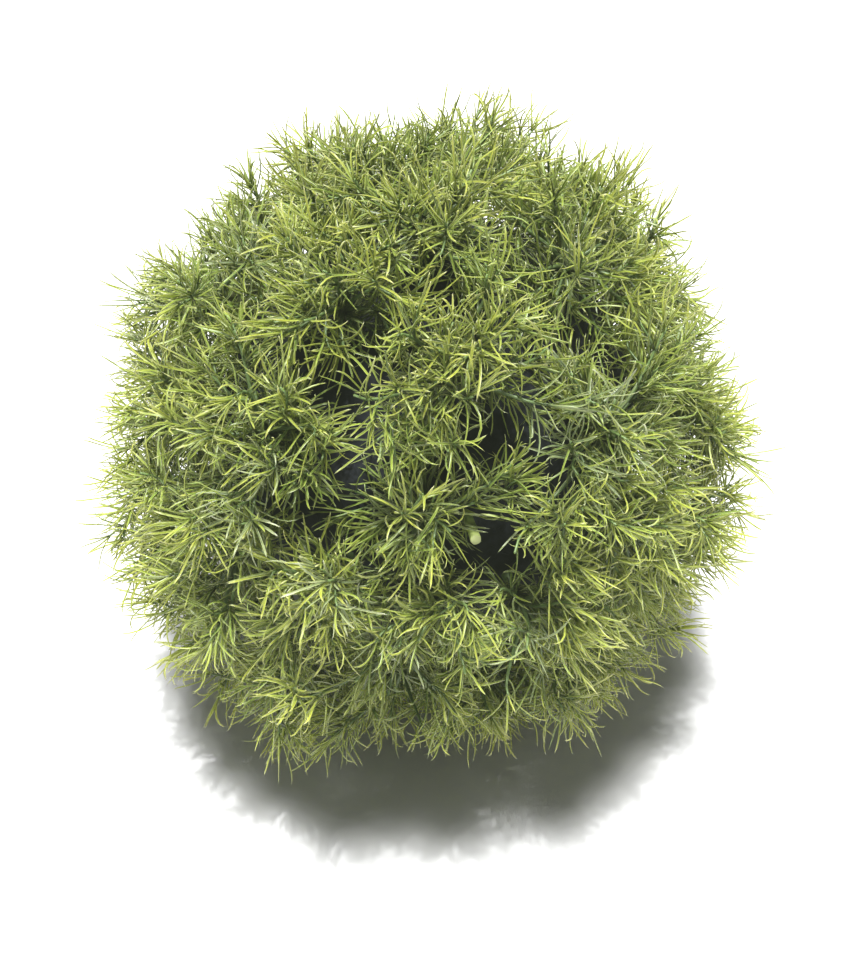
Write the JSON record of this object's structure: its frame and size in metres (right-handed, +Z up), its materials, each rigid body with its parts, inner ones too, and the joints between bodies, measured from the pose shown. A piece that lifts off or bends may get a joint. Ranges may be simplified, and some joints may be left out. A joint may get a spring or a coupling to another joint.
{
  "type": "kokedama moss ball plant",
  "caption": "Ball of fine needle-leaved sprigs growing on every side of a moss-covered root ball, with one bare cut stem at the front, resting on a small flat spot.",
  "frame": {"origin": "middle of the small flat spot under the ball, on the surface it rests on", "axes": "+Z up, -Y towards the viewer of the picture, +X to the viewer's right"},
  "size_m": [0.2351, 0.2255, 0.216],
  "materials": {
    "moss": "matte",
    "stem": "satin",
    "leaf": "satin",
    "blue_leaf": "satin"
  },
  "bodies": {
    "root": {"core_ball": "moss", "stem_stub": "stem", "crown_sprig": "leaf", "top_sprig_1": "leaf", "top_sprig_2": "leaf", "top_sprig_3": "leaf", "top_sprig_4": "leaf", "top_sprig_5": "leaf", "upper_sprig_1": "leaf", "upper_sprig_2": "leaf", "upper_sprig_3": "leaf", "upper_sprig_4": "leaf", "upper_sprig_5": "leaf", "upper_sprig_6": "leaf", "upper_sprig_7": "leaf", "upper_sprig_8": "leaf", "upper_sprig_9": "leaf", "upper_sprig_10": "leaf", "middle_sprig_1": "leaf", "middle_sprig_2": "leaf", "middle_sprig_3": "leaf", "middle_sprig_4": "leaf", "middle_sprig_5": "leaf", "middle_sprig_6": "leaf", "middle_sprig_7": "leaf", "middle_sprig_8": "leaf", "middle_sprig_9": "leaf", "middle_sprig_10": "leaf", "middle_sprig_11": "leaf", "middle_sprig_12": "leaf", "middle_sprig_13": "leaf", "middle_sprig_14": "leaf", "middle_sprig_15": "leaf", "lower_sprig_1": "leaf", "lower_sprig_2": "leaf", "lower_sprig_3": "leaf", "lower_sprig_4": "leaf", "lower_sprig_5": "leaf", "lower_sprig_6": "leaf", "lower_sprig_7": "leaf", "lower_sprig_8": "leaf", "lower_sprig_9": "leaf", "lower_sprig_10": "leaf", "lower_sprig_11": "leaf", "lower_sprig_12": "leaf", "lower_sprig_13": "leaf", "lower_sprig_14": "leaf", "under_sprig_1": "leaf", "under_sprig_2": "leaf", "under_sprig_3": "leaf", "under_sprig_4": "leaf", "under_sprig_5": "leaf", "under_sprig_6": "leaf", "under_sprig_7": "leaf", "under_sprig_8": "leaf", "under_sprig_9": "leaf", "under_sprig_10": "leaf", "under_sprig_11": "leaf", "foot_sprig": "leaf"}
  },
  "joints": []
}
